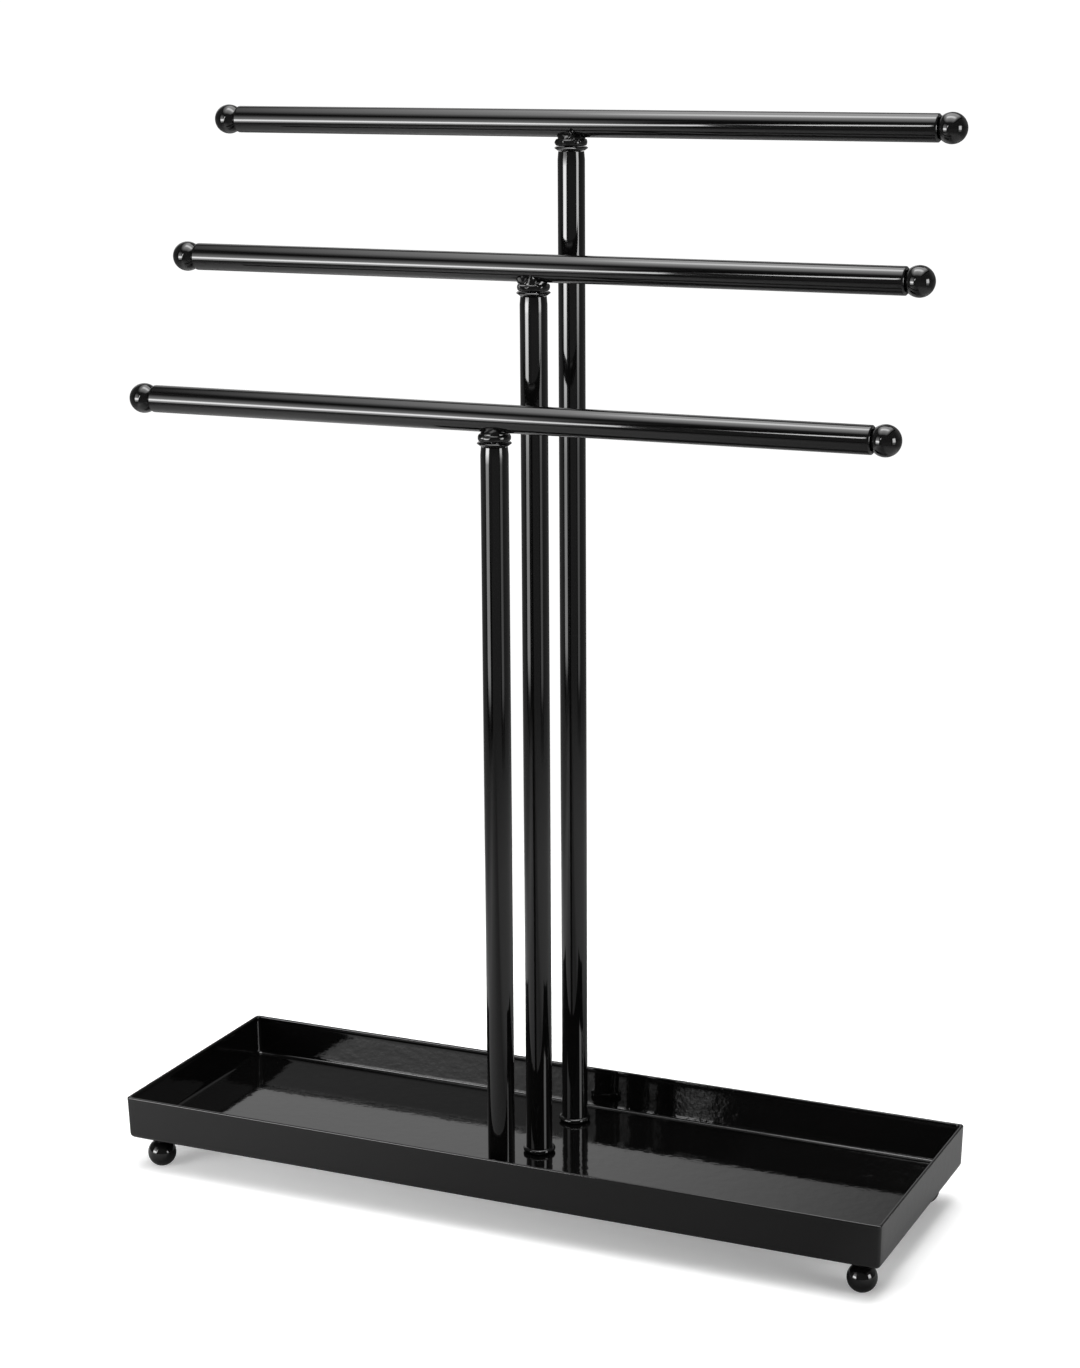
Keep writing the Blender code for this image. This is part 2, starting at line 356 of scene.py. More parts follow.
def finer(outline, spacing, closed=False):
    """The same outline with points added wherever its length passes a multiple of the spacing."""
    if closed:
        outline = np.vstack([outline, outline[:1]])
    step = np.linalg.norm(np.diff(outline, axis=0), axis=1)
    length = np.concatenate([[0], np.cumsum(step)])
    places = np.union1d(length, np.arange(0, length[-1], spacing))
    keep = np.concatenate([[True], np.diff(places) > spacing / 20])
    places = places[keep]
    points = np.stack([np.interp(places, length, outline[:, k]) for k in range(2)], -1)
    return points[:-1] if closed else points


def arc(radius, start, end, steps, height=0.0):
    """Points on a circle round the axis, from one angle above the level to another."""
    angle = np.linspace(start, end, steps)
    return np.stack([radius * np.cos(angle), height + radius * np.sin(angle)], -1)


def swell(inner, outer, top, bottom, steps=14, power=1.0):
    """Half an ellipse that swells from the inner radius to the outer one and back, from top to bottom. A
    power below one makes it squarer: inner + (outer - inner) cos^power."""
    angle = np.linspace(math.pi / 2, -math.pi / 2, steps)
    middle = (top + bottom) / 2
    return np.stack(
        [
            inner + (outer - inner) * np.abs(np.cos(angle)) ** power,
            middle + (top - bottom) / 2 * np.sin(angle),
        ],
        -1,
    )


def turn(outline, centre=(0, 0, 0), sides=72, lumps=None):
    """The outline carried round the upright axis: x = radius cos angle, y = radius sin angle. Lumps add
    to the radius as a function of angle and height, except at the poles."""
    outline = np.asarray(outline, float)
    angle = np.arange(sides) * (2 * math.pi / sides)
    radius, height = np.broadcast_arrays(outline[:, :1], outline[:, 1:])
    radius = radius + 0 * angle
    height = height + 0 * angle
    if lumps is not None:
        radius = radius + np.where(radius > 1e-9, lumps(angle, height), 0)
    return np.stack([radius * np.cos(angle), radius * np.sin(angle), height], -1) + centre


def lying(grid, centre, sign=1):
    """What stood along +Z lies along +X, or along -X, and moves to its centre."""
    x, y, z = np.moveaxis(grid, -1, 0)
    return np.stack([sign * z, y, -sign * x], -1) + centre


# %% [markdown]
# ## The tray
#
# The tray is one steel sheet, 0.8 mm thick, folded up on four sides over a rounded edge and welded at its
# upright corners. Its surface is a section carried round a rectangle: out along the underside, round the
# fold, up the wall, over the rim, down inside and back in along the floor. Each point of the section says
# how far it lies in from the wall and how high, and a ring of points at that inset is a smaller rectangle.
# The last ring has no width left, so its two long sides weld along the middle of the tray. A box with a
# Solidify modifier would be quicker, but every wall would be upright and every edge the same. The rim is made
# as if it were folded back on itself, thicker and rounder than the sheet. Walls spring back a little from
# their fold, so they lean out by under two degrees. The floor curls up towards the long folds, and rises and
# falls by a few hundredths of a millimetre, because pressed sheet is never quite flat. A finish as glossy as
# enamel shows each of these.


# %% Tray helpers
def rectangle(half, corner, per_corner, per_long, per_short):
    """A ring of points round a rectangle with round corners: in each corner the angle runs a quarter turn
    about a centre that is set in by the corner's radius, and straight runs join the quarters."""
    turns = np.linspace(0, math.pi / 2, per_corner)
    signs = ((1, 1), (-1, 1), (-1, -1), (1, -1))
    ring = []
    for number, (sx, sy) in enumerate(signs):
        angle = turns + number * math.pi / 2
        centre = np.array([sx * (half[0] - corner), sy * (half[1] - corner)])
        quarter = centre + corner * np.stack([np.cos(angle), np.sin(angle)], -1)
        next_x, next_y = signs[(number + 1) % 4]
        angle = (number + 1) * math.pi / 2
        next_centre = np.array([next_x * (half[0] - corner), next_y * (half[1] - corner)])
        goal = next_centre + corner * np.array([math.cos(angle), math.sin(angle)])
        run = np.linspace(0, 1, (per_long, per_short)[number % 2] + 1, endpoint=False)[1:, None]
        ring += [quarter, quarter[-1] + (goal - quarter[-1]) * run]
    return np.vstack(ring)


def tray_section(height, sheet, fold, hem):
    """(inset, height) from the middle of the underside out, up and back in to the middle of the floor. The
    sheet is hemmed at the rim, so it is thicker and rounder there."""
    inner = fold - sheet
    quarter = np.linspace(0, math.pi / 2, 10)
    outside = np.stack([fold * (1 - np.sin(quarter)), fold * (1 - np.cos(quarter))], -1)
    inside = np.stack([sheet + inner * (1 - np.cos(quarter)), sheet + inner * (1 - np.sin(quarter))], -1)
    corners = [
        outside[-1],
        (0, height),
        (hem, height),
        (hem, height - 1.3 * mm),
        (sheet, height - 1.9 * mm),
        inside[0],
    ]
    wall = finer(rounded(corners, np.array([0.52, 0.52, 0.3, 0.3]) * mm, 6), 1.2 * mm)
    return np.vstack([outside[:-1], wall, inside[1:]])


# %% Tray
tray_low, tray_high = limits("tray")
tray_half = tray_high[:2]
sheet, fold, hem = 0.8 * mm, 2.0 * mm, 1.15 * mm
wall_lean = 0.030
underside, rim = tray_low[2], tray_high[2]
section = tray_section(rim - underside, sheet, fold, hem)
reach = np.linspace(1, 0, 18)[:-1] * (tray_half[1] - fold)
outer = np.stack([fold + reach, 0 * reach], -1)
inner = np.stack([fold + reach[::-1], 0 * reach + sheet], -1)
section = np.vstack([outer, section, inner])
depth_left = 1 - section[:, 0] / tray_half[1]
section[:, 0] += wall_lean * (rim - underside - section[:, 1]) * depth_left
print("tray section:", len(section), "points, walls lean by", round(math.degrees(wall_lean), 1), "degrees")

corner_outer, corner_inner, corner_flat = 1.2 * mm, 1.6 * mm, 0.5 * mm
rings = []
for number, (inset, level) in enumerate(section):
    half = tray_half - inset
    inside = number > np.argmax(section[:, 1])
    corner = (corner_inner if inside else corner_outer) if inset < 2 * fold else corner_flat
    corner = min(corner, half[1])
    ring = rectangle(half, corner, 7, 110, 36)
    rings.append(np.column_stack([ring, np.full(len(ring), level + underside)]))
tray_grid = np.stack(rings)


def sheet_wave(x, y):
    """Slow rise and fall of rolled sheet, a few hundredths of a millimetre high."""
    return 0.03 * mm * (np.sin(x / 0.021 + 1.0) * np.cos(y / 0.017) + 0.6 * np.sin(x / 0.047 + y / 0.03))


def floor_rise(y, height):
    """The floor curls up towards the long folds: rise exp(-distance / 7 mm), nothing at the rim."""
    near = np.exp(-(tray_half[1] - np.abs(y)) / (7 * mm))
    return 0.13 * mm * near * (1 - (height - underside) / (rim - underside))


tray_grid[..., 2] += sheet_wave(tray_grid[..., 0], tray_grid[..., 1])
tray_grid[..., 2] += floor_rise(tray_grid[..., 1], tray_grid[..., 2])
tray = make("tray_sheet", tray_grid, "tray_enamel", "base", "tray", sharp=60)

# %% [markdown]
# The posts are held from below, so the tray has a hole under each of them. The holes could be drawn into the
# grid, but a round hole in a rectangular grid bends every row near it. A Boolean with a plain round cutter
# leaves the rows alone, and is how the punch does it too. Each cutter is removed once its hole is made.

# %% Tray holes
punch_radius = 2.3 * mm
punch_outline = [(0, 3 * mm), (punch_radius, 3 * mm), (punch_radius, -3 * mm), (0, -3 * mm)]
for row in rows:
    washer_low, washer_high = limits(row + "_washer")
    centre = (washer_low + washer_high) / 2
    punch_mesh = bpy.data.meshes.new("punch")
    skin(punch_mesh, turn(punch_outline, (0, centre[1], underside), 40), False)
    punch = bpy.data.objects.new("punch", punch_mesh)
    bpy.context.scene.collection.objects.link(punch)
    cut = tray.modifiers.new("hole", "BOOLEAN")
    cut.solver = "EXACT"
    cut.object = punch
    bpy.context.view_layer.update()
    cut_mesh = bpy.data.meshes.new_from_object(
        tray.evaluated_get(bpy.context.evaluated_depsgraph_get())
    )
    tray.modifiers.clear()
    tray.data = cut_mesh
    bpy.data.objects.remove(punch)
tray.data.name = "tray_sheet"
print("tray:", len(tray.data.polygons), "faces with its holes")

# %% [markdown]
# ## Ball feet
#
# Each foot is a steel ball with a small flat to stand on, on a short stem welded under the tray. A UV sphere
# would need a Boolean for its bore and another for its flat. Here the ball is an arc turned round its axis,
# and its bore and flat are straight stretches of the same profile, so it comes out closed and clean.

# %% Feet
for end in ("front_left", "front_right", "back_left", "back_right"):
    low, high = limits("foot_ball_" + end)
    centre = (low + high) / 2
    radius = (high[0] - low[0]) / 2
    flat, bore, bore_floor = 1.5 * mm, 1.75 * mm, 6.2 * mm
    middle = math.sqrt(radius**2 - flat**2)
    ball = arc(radius, math.acos(bore / radius), -math.acos(flat / radius), 40, middle)
    outline = np.vstack([[(0, bore_floor), (bore, bore_floor)], ball, [(0, 0)]])
    place = (centre[0], centre[1], 0)
    make("foot_" + end, turn(outline, place, 64), "foot_enamel", "base", "foot_ball_" + end)

    low, high = limits("foot_stem_" + end)
    neck, shank, shoulder = 2.5 * mm, 1.5 * mm, 2 * radius
    corners = [
        (0, high[2]),
        (neck, high[2]),
        (neck, shoulder),
        (shank, shoulder),
        (shank, low[2]),
        (0, low[2]),
    ]
    outline = rounded(corners, (0.15 * mm, 0.3 * mm, 0.2 * mm, 0.3 * mm))
    make("stem_" + end, turn(outline, place, 40), "bright_steel", "base", "foot_stem_" + end)
print("feet: ball radius", round(radius / mm, 2), "mm")

# %% [markdown]
# ## Threads
#
# A thread is a ridge that climbs as it goes round. On the grid of a turned piece it is one line of
# arithmetic: the radius depends on how far the height, less the climb at that angle, is into its pitch.


# %% Thread
def thread(pitch, depth, bottom, top, run_out=0.6 * mm):
    """Radius to add for a thread: nothing at the crest, minus the depth at the root. The ridge is a
    triangle wave of (height / pitch - angle / full turn), and fades out at both ends."""

    def lumps(angle, height):
        phase = (height / pitch - angle / (2 * math.pi)) % 1.0
        ridge = np.abs(2 * phase - 1)
        ends = np.clip(np.minimum(height - bottom, top - height) / run_out, 0, 1)
        return -depth * ends * np.clip(1.25 * ridge - 0.12, 0, 1)

    return lumps


# %% [markdown]
# ## Posts, base rings and caps
#
# A post is a length of drawn tube. A ring closes the joint at its foot, and a cap with a thin sharp flange
# closes its top. A cylinder with a Bevel would look the same from outside, but it has no bore for the plugs.
# A tube's profile is a loop, down the outside and up the bore, so the grid closes both ways.


# %% Posts
def wander(seed):
    """Radius to add for a base ring: it is a bead of weld under paint, so its width wanders a little on its
    way round, as the sum of two sine waves."""

    def lumps(angle, height):
        return 0.09 * mm * (np.sin(5 * angle + seed) + 0.6 * np.sin(11 * angle + 2 * seed)) - 0.05 * mm

    return lumps


tube_wall = 1.2 * mm
for number, row in enumerate(rows):
    low, high = limits(row + "_post")
    radius = (high[0] - low[0]) / 2
    bore = radius - tube_wall
    place = (0, (low[1] + high[1]) / 2, 0)
    corners = [(radius, high[2]), (radius, low[2]), (bore, low[2]), (bore, high[2])]
    outline = finer(rounded(corners, 0.25 * mm, 4, True), 3 * mm, True)
    make(row + "_tube", turn(outline, place, 96), "post_enamel", "base", row + "_post", True)

    low, high = limits(row + "_base_ring")
    ring_radius = (high[0] - low[0]) / 2
    outline = swell(radius + 0.1 * mm, ring_radius, high[2], low[2])
    grid = turn(outline, place, 96, wander(number))
    make(row + "_ring", grid, "collar_enamel", "base", row + "_base_ring", True)
print("posts: tube radius", round(radius / mm, 2), "mm")

# %% Caps
cap_bore = 2.6 * mm
for row in rows:
    low, high = limits(row + "_post_cap")
    top, bottom = high[2], low[2]
    flange = (high[0] - low[0]) / 2
    place = (0, (low[1] + high[1]) / 2, 0)
    plug = bore - 0.3 * mm
    corners = [
        (flange - 0.45 * mm, top),
        (flange, top - 0.5 * mm),
        (radius, top - 1.4 * mm),
        (plug, top - 1.4 * mm),
        (plug, bottom),
        (cap_bore, bottom),
        (cap_bore, top),
    ]
    reach_of_corner = np.array([0.2, 0.08, 0.1, 0.1, 0.4, 0.3, 0.2]) * mm
    outline = finer(rounded(corners, reach_of_corner, 4, True), 0.5 * mm, True)
    make(row + "_cap", turn(outline, place, 96), "collar_enamel", "base", row + "_post_cap", True)
print("caps: flange radius", round(flange / mm, 2), "mm")

# %% [markdown]
# ## Fixings under the posts
#
# A plug with a straight knurl is pressed into the foot of each post. A screw with a hexagon socket comes up
# through a washer and the tray and pulls the post down. The socket could be cut with a six-sided Boolean.
# Here it is the last few rows of the screw's own grid, and it is a hexagon because its radius follows the
# flats: half the width across flats, over the cosine of the angle from the nearest flat's middle.


# %% Fixings
def knurl(angle):
    """Radius to add for a straight knurl: ridges down the outside, as a triangle wave round the plug."""
    return -0.12 * mm * np.abs(2 * ((angle * 24 / math.pi) % 1.0) - 1)


plug_bore = 2.3 * mm
plug_sides = 192
for row in rows:
    low, high = limits(row + "_base_plug")
    place = (0, (low[1] + high[1]) / 2, 0)
    plug = (high[0] - low[0]) / 2
    corners = [(plug, high[2]), (plug, low[2]), (plug_bore, low[2]), (plug_bore, high[2])]
    outline = finer(rounded(corners, 0.35 * mm, 4, True), 0.7 * mm, True)
    grid = turn(outline, (0, 0, 0), plug_sides)
    outside = np.hypot(grid[..., 0], grid[..., 1]) > 0.9 * plug
    shrink = 1 + outside * knurl(np.arange(plug_sides) * (2 * math.pi / plug_sides)) / plug
    grid[..., :2] *= shrink[..., None]
    make(row + "_plug", grid + place, "bright_steel", "base", row + "_base_plug", True)

    low, high = limits(row + "_washer")
    washer = (high[0] - low[0]) / 2
    corners = [(washer, high[2]), (washer, low[2]), (plug_bore, low[2]), (plug_bore, high[2])]
    outline = rounded(corners, 0.2 * mm, 4, True)
    make(row + "_washer_ring", turn(outline, place, 72), "zinc_plate", "base", row + "_washer", True)

    low, high = limits(row + "_fixing_screw")
    head = (high[0] - low[0]) / 2
    shank, head_height, socket, socket_depth = 2.0 * mm, 2.4 * mm, 1.25 * mm, 1.4 * mm
    head_top = low[2] + head_height
    sides = 72
    angle = np.arange(sides) * (2 * math.pi / sides)
    hexagon = socket / np.cos(angle % (math.pi / 3) - math.pi / 6)
    corners = [
        (1.2 * socket, low[2]),
        (head, low[2]),
        (head, head_top),
        (shank, head_top),
        (shank, high[2]),
        (0, high[2]),
    ]
    outline = rounded(corners, np.array([0.8, 0.3, 0.2, 0.4]) * mm, 6)
    outline = finer(outline, 0.06 * mm)[::-1]
    turned = turn(outline, (0, 0, 0), sides, thread(0.7 * mm, 0.38 * mm, head_top + 0.3 * mm, high[2]))
    well_floor = low[2] + socket_depth
    well_rows = (
        (1.08, low[2]),
        (1, low[2] + 0.1 * mm),
        (1, well_floor - 0.05 * mm),
        (0.97, well_floor),
        (0, well_floor),
    )
    well = [
        np.stack([hexagon * share * np.cos(angle), hexagon * share * np.sin(angle), 0 * angle + height], -1)
        for share, height in well_rows
    ]
    grid = np.vstack([turned, np.stack(well)])
    make(row + "_screw", grid + place, "zinc_plate", "base", row + "_fixing_screw")
print("fixings: screw head radius", round(head / mm, 2), "mm")

# %% [markdown]
# ## Bars and balls
#
# A bar is the same tube as a post, laid level, with its ends rounded over. A ball is pressed into each end
# on a spigot, and a fine groove is left where the two roundings meet. Both are turned upright like every
# other round piece and then laid over, so that one function serves for all of them.

# %% Bars
for row in rows:
    body = row + "_bar_assembly"
    low, high = limits(row + "_bar")
    place = (low + high) / 2
    half_bar = (high[0] - low[0]) / 2
    corners = [(radius, half_bar), (radius, -half_bar), (bore, -half_bar), (bore, half_bar)]
    end_round = np.array([0.9, 0.9, 0.15, 0.15]) * mm
    outline = finer(rounded(corners, end_round, 7, True), 3 * mm, True)
    grid = lying(turn(outline, (0, 0, 0), 96), place)
    make(row + "_crossbar", grid, "bar_enamel", body, row + "_bar", True)

    for side, sign in (("left", -1), ("right", 1)):
        low, high = limits(f"{row}_{side}_ball")
        ball_radius = (high[1] - low[1]) / 2
        spigot = radius - tube_wall - 0.3 * mm
        seat = math.acos(spigot / ball_radius)
        centre = np.array([sign * (half_bar + ball_radius * math.sin(seat)), place[1], place[2]])
        depth = ball_radius * math.sin(seat) + 6 * mm
        tail = rounded([(spigot, -ball_radius * math.sin(seat)), (spigot, -depth), (0, -depth)], 0.4 * mm)
        outline = np.vstack([arc(ball_radius, math.pi / 2, -seat, 44), tail[1:]])
        outline[0, 0] = 0.0
        grid = lying(turn(outline, (0, 0, 0), 64), centre, sign)
        make(f"{row}_{side}_finial", grid, "ball_enamel", body, f"{row}_{side}_ball")
print("bars: half length", round(half_bar / mm, 1), "mm, ball radius", round(ball_radius / mm, 2), "mm")

# %% [markdown]
# ## Collars
#
# Under each bar a thick round bead turns on the cap. It is welded to the bar by hand, and no two welds are
# alike: the weld runs up the flanks of the tube as a saddle, with lumps and runs in it. It could be
# sculpted, but a sculpt can't be measured or changed by a number. Here the top ring of points lies on the
# tube itself, at height minus the root of (tube radius squared less y squared), and the rings below blend
# into the neck and the bead. Where the welder dwelt, the saddle climbs further up the tube. A few bumps are
# placed one by one where the weld piled up, and a seeded generator scatters smaller runs round the bead.


# %% Collar
def collar_grid(radius, neck, bead, cap_bore, bead_top, bead_bottom, reach, climbs, bumps):
    """Saddle, neck, bead and bore as one closed grid. A climb is (angle, width, amount), and the saddle
    reaches further up the tube there. A bump is (angle, depth, width in angle, width in height, amount,
    slant), and adds amount times a bell curve in both directions to the radius."""
    sides = 192
    angle = np.arange(sides) * (2 * math.pi / sides)

    def off(where):
        """Angle from where, the short way round."""
        return (angle - where + math.pi) % (2 * math.pi) - math.pi

    across, along = reach
    for where, wide, amount in climbs:
        across = across + amount * np.exp(-((off(where) / wide) ** 2))
    saddle_x = along * np.cos(angle)
    saddle_y = np.minimum(across, 0.97 * radius) * np.sin(angle)
    saddle = np.stack([saddle_x, saddle_y, -np.sqrt(radius**2 - saddle_y**2) + 0.15 * mm], -1)
    waist = np.stack([neck * np.cos(angle), neck * np.sin(angle), 0 * angle - bead_top], -1)
    t = np.linspace(0, 1, 24)[:, None, None]
    pull = 1 - (1 - t) ** 2
    weld = saddle * (1 - pull) + waist * pull
    weld[..., 2] = saddle[..., 2] * (1 - t[..., 0] ** 0.8) + waist[..., 2] * t[..., 0] ** 0.8
    body = turn(swell(neck, bead, -bead_top, -bead_bottom, 26, 0.7)[1:], (0, 0, 0), sides)
    bore_outline = finer(np.array([(cap_bore, -bead_bottom), (cap_bore, -radius - 0.02 * mm)]), 0.6 * mm)
    hole = turn(bore_outline, (0, 0, 0), sides)
    outside = np.concatenate([weld, body])
    flat_radius = np.hypot(outside[..., 0], outside[..., 1])
    depth = -outside[..., 2]
    extra = 0 * depth
    for where, level, wide, tall, amount, slant in bumps:
        away = off(where) - slant * (depth - level)
        extra = extra + amount * np.exp(-((away / wide) ** 2) - ((depth - level) / tall) ** 2)
    extra[0] = 0
    outside[..., :2] *= (1 + extra / flat_radius)[..., None]
    return np.concatenate([outside, hole])


# %% Welds
def runs(seed, count):
    """Small runs and lumps of weld round the bead, from a seeded generator."""
    rng = np.random.default_rng(seed)
    where = np.linspace(-math.pi, math.pi, count, endpoint=False) + rng.uniform(-0.2, 0.2, count)
    level = rng.uniform(4.9, 6.8, count) * mm
    wide = rng.uniform(0.09, 0.2, count)
    tall = rng.uniform(0.5, 1.2, count) * mm
    amount = rng.uniform(-0.28, 0.34, count) * mm
    slant = rng.uniform(-0.1, 0.1, count) / mm
    return list(zip(where, level, wide, tall, amount, slant))


weld_climbs = {
    "front": [(math.radians(-60), 0.4, 0.5 * mm)],
    "middle": [(math.radians(-130), 0.3, 2.6 * mm), (math.radians(-80), 0.2, 0.9 * mm)],
    "back": [(math.radians(-68), 0.12, 3.2 * mm), (math.radians(-130), 0.4, 0.6 * mm)],
}
weld_bumps = {
    "front": runs(3, 13),
    "middle": runs(8, 12)
    + [
        (math.radians(-125), 4.6 * mm, 0.2, 2.6 * mm, 1.7 * mm, 0.10 / mm),
        (math.radians(-96), 4.2 * mm, 0.09, 0.9 * mm, 0.5 * mm, -0.1 / mm),
        (math.radians(-50), 4.9 * mm, 0.1, 0.9 * mm, 0.55 * mm, -0.1 / mm),
    ],
    "back": runs(5, 12)
    + [
        (math.radians(-70), 3.2 * mm, 0.09, 2.2 * mm, 1.1 * mm, 0.06 / mm),
        (math.radians(-95), 5.6 * mm, 0.1, 0.7 * mm, 0.35 * mm, 0.0),
    ],
}
saddle_reach = {"front": (3.4 * mm, 5.0 * mm), "middle": (3.7 * mm, 5.5 * mm), "back": (3.5 * mm, 5.3 * mm)}

# %% Collars and studs
neck_radius, bead_height = 4.9 * mm, 2.5 * mm
for row in rows:
    body = row + "_bar_assembly"
    bar_low, bar_high = limits(row + "_bar")
    axis = (bar_low + bar_high) / 2
    low, high = limits(row + "_collar")
    bead = (high[0] - low[0]) / 2
    bead_bottom = axis[2] - low[2]
    bead_top = bead_bottom - bead_height
    grid = collar_grid(
        radius,
        neck_radius,
        bead,
        cap_bore,
        bead_top,
        bead_bottom,
        saddle_reach[row],
        weld_climbs[row],
        weld_bumps[row],
    )
    make(row + "_weld_collar", grid + axis, "collar_enamel", body, row + "_collar", True, 60)

    low, high = limits(row + "_swivel_stud")
    stud = (high[0] - low[0]) / 2
    corners = [(0, high[2]), (stud, high[2]), (stud, low[2]), (0, low[2])]
    outline = finer(rounded(corners, 0.4 * mm), 0.07 * mm)
    lumps = thread(0.8 * mm, 0.42 * mm, low[2], high[2] - 2 * mm)
    place = (0, axis[1], 0)
    make(row + "_stud", turn(outline, place, 48, lumps), "bright_steel", body, row + "_swivel_stud")
print("collars: bead radius", round(bead / mm, 2), "mm")

# %% [markdown]
# ## Table and room
#
# A small glossy thing is a mirror of its room, so the room is most of its look. The stand is on a pale round
# table in a dim room. The camera sees the table overexposed, as a studio does to lose the background, while
# the enamel mirrors it as a mid grey with painted light and shade across it: brightest to the left, darkest a
# little right of the middle. Light Path tells the two kinds of ray apart. A weak glow in the sheet, stronger
# towards the left, is painted light that keeps the shadows open. From underneath the sheet can't be seen, so
# the feet and
# the screws can be looked at. Beyond the table the camera sees plain white, and mirrors see a dim room with a
# paler wall behind the stand.


# %% Table
def table_finish():
    """Pale matt sheet with a weak glow for the camera, which is painted light that lifts its shadows. Its
    edge fades out, further away for reflected rays than for the camera's own, and it can't be seen from
    below. To reflected rays its tone is painted light and shade: brightest to the left, darkest a little
    right of the middle."""
    mix = Recipe(bpy.data.materials.new("table_top"))
    point = mix.position()
    away = mix.node("ShaderNodeVectorMath", {"operation": "LENGTH"}, {0: point}).outputs["Value"]
    seen = Number(mix, mix.node("ShaderNodeLightPath").outputs["Is Camera Ray"])
    near_fade = mix.ramp(Number(mix, away), (0.28, 0.0), (0.50, 1.0))
    far_fade = mix.ramp(Number(mix, away), (0.45, 0.0), (0.78, 1.0))
    below = Number(mix, mix.node("ShaderNodeNewGeometry").outputs["Backfacing"])
    fade = (seen * near_fade + (1 - seen) * far_fade) * (1 - below) + below
    parts = mix.node("ShaderNodeSeparateXYZ", None, {0: point})
    leftward = 0.5 - Number(mix, parts.outputs["X"])
    # Painted light and shade for reflected rays: the tone is brightest to the left and darkest a little right
    # of the middle.
    mirrored_light_and_shade = mix.ramp(
        leftward,
        (0.15, 0.44),
        (0.30, 0.42),
        (0.38, 0.19),
        (0.50, 0.28),
        (0.58, 0.40),
        (0.66, 0.50),
        (0.75, 0.70),
        (0.85, 0.55),
        (0.93, 0.34),
    )
    tone = seen * 0.92 + (1 - seen) * mirrored_light_and_shade
    # Painted light: for the camera the sheet glows, more towards the left, to lift its shadows.
    glow = mix.ramp(leftward, (0.20, 0.10), (0.60, 0.34)) * seen
    paper = mix.node("ShaderNodeBsdfDiffuse", None, {"Color": tone})
    lamp = mix.node("ShaderNodeEmission", None, {"Strength": glow})
    lit = mix.node("ShaderNodeAddShader", None, {0: paper.outputs[0], 1: lamp.outputs[0]})
    nothing = mix.node("ShaderNodeBsdfTransparent")
    sockets = {0: fade, 1: lit.outputs[0], 2: nothing.outputs[0]}
    return mix.send(mix.node("ShaderNodeMixShader", None, sockets))


def disc(radius, height, sides=96, steps=12):
    """Rings of growing radius: x = r cos angle, y = r sin angle, with r from nothing to the full radius."""
    outline = np.stack([np.linspace(0, radius, steps), np.full(steps, height)], -1)
    return turn(outline, (0, 0, 0), sides)[::-1]


# An open sheet has no outside, so its faces are turned up here.
table_radius, table_top = 0.85, -0.02 * mm
table_mesh = bpy.data.meshes.new("table")
skin(table_mesh, disc(table_radius, table_top), False)
if table_mesh.polygons[0].normal.z < 0:
    table_mesh.flip_normals()
print("table faces up:", table_mesh.polygons[0].normal.z > 0)
table_mesh.materials.append(table_finish())
table = bpy.data.objects.new("table", table_mesh)
bpy.context.scene.collection.objects.link(table)


# %% Room
def room():
    """Dim grey all round, paler behind the stand to the left and a little above it, and white to the
    camera itself."""
    mix = Recipe(bpy.data.worlds.new("room"))
    away = mix.node("ShaderNodeTexCoord").outputs["Generated"]
    parts = mix.node("ShaderNodeSeparateXYZ", None, {0: away})
    rise = Number(mix, parts.outputs["Z"])
    left = mix.ramp(0 - Number(mix, parts.outputs["X"]), (0.25, 0.2), (0.33, 0.75), (0.38, 1.0))
    behind = left * mix.ramp(Number(mix, parts.outputs["Y"]), (0.30, 0.0), (0.60, 1.0))
    band = mix.ramp(rise * 0.5 + 0.5, (0.52, 0.0), (0.60, 1.0), (0.76, 1.0), (0.86, 0.4))
    low = mix.ramp(rise * 0.5 + 0.5, (0.44, 0.22), (0.52, 0.14))
    glow = behind * band * 0.66 + low
    seen = mix.node("ShaderNodeLightPath").outputs["Is Camera Ray"]
    dim = mix.node("ShaderNodeBackground", None, {"Color": (1, 1, 1, 1), "Strength": glow})
    bright = mix.node("ShaderNodeBackground", None, {"Color": (1, 1, 1, 1), "Strength": 1.05})
    sockets = {0: seen, 1: dim.outputs[0], 2: bright.outputs[0]}
    return mix.send(mix.node("ShaderNodeMixShader", None, sockets), "ShaderNodeOutputWorld")


bpy.context.scene.world = room()
bpy.context.scene.view_settings.view_transform = "Standard"
bpy.context.scene.view_settings.look = "None"

# %% [markdown]
# ## Soft boxes
#
# One soft box stands at the left front, one at the right, and a large soft panel hangs over the stand. A
# real soft box is brightest where the lamp is and fades towards its edges, and that fading is what makes
# the streaks on the tubes look soft. An area lamp glows evenly, so each box is a glowing panel made of
# patches instead: the core of the lamp, and the paler light that spills round it. Each patch's strength
# follows two ramps, one across the panel and one up it, and a patch may be lifted towards one side, so that
# its streak rises there. A dim flag stands in front of the stand, as a studio sets up a card to keep a lamp
# out of one reflection. None of these show to the camera itself.


# %% Soft box helpers
def panel_level(mix, place, size, points):
    """A ramp along the panel whose points are (metres from the panel's middle, level)."""
    return mix.ramp(place * (1 / size) + 0.5, *[(0.5 + at / size, value) for at, value in points])


def glow_finish(name, size, patches):
    """Light that leaves the panel: the sum over its patches of radiance times a level across times a level
    up. A lift moves the patch up the panel by an amount that varies across it."""
    mix = Recipe(bpy.data.materials.new(name + "_glow"))
    parts = mix.node(
        "ShaderNodeSeparateXYZ", None, {0: mix.node("ShaderNodeTexCoord").outputs["Object"]}
    )
    x = Number(mix, parts.outputs["X"])
    y = Number(mix, parts.outputs["Y"])
    strength = 0
    for radiance, across, upward, lift in patches:
        raised = y - panel_level(mix, x, size[0], lift) if lift else y
        sideways = panel_level(mix, x, size[0], across)
        strength = sideways * panel_level(mix, raised, size[1], upward) * radiance + strength
    return mix.send(mix.node("ShaderNodeEmission", None, {"Strength": strength}))


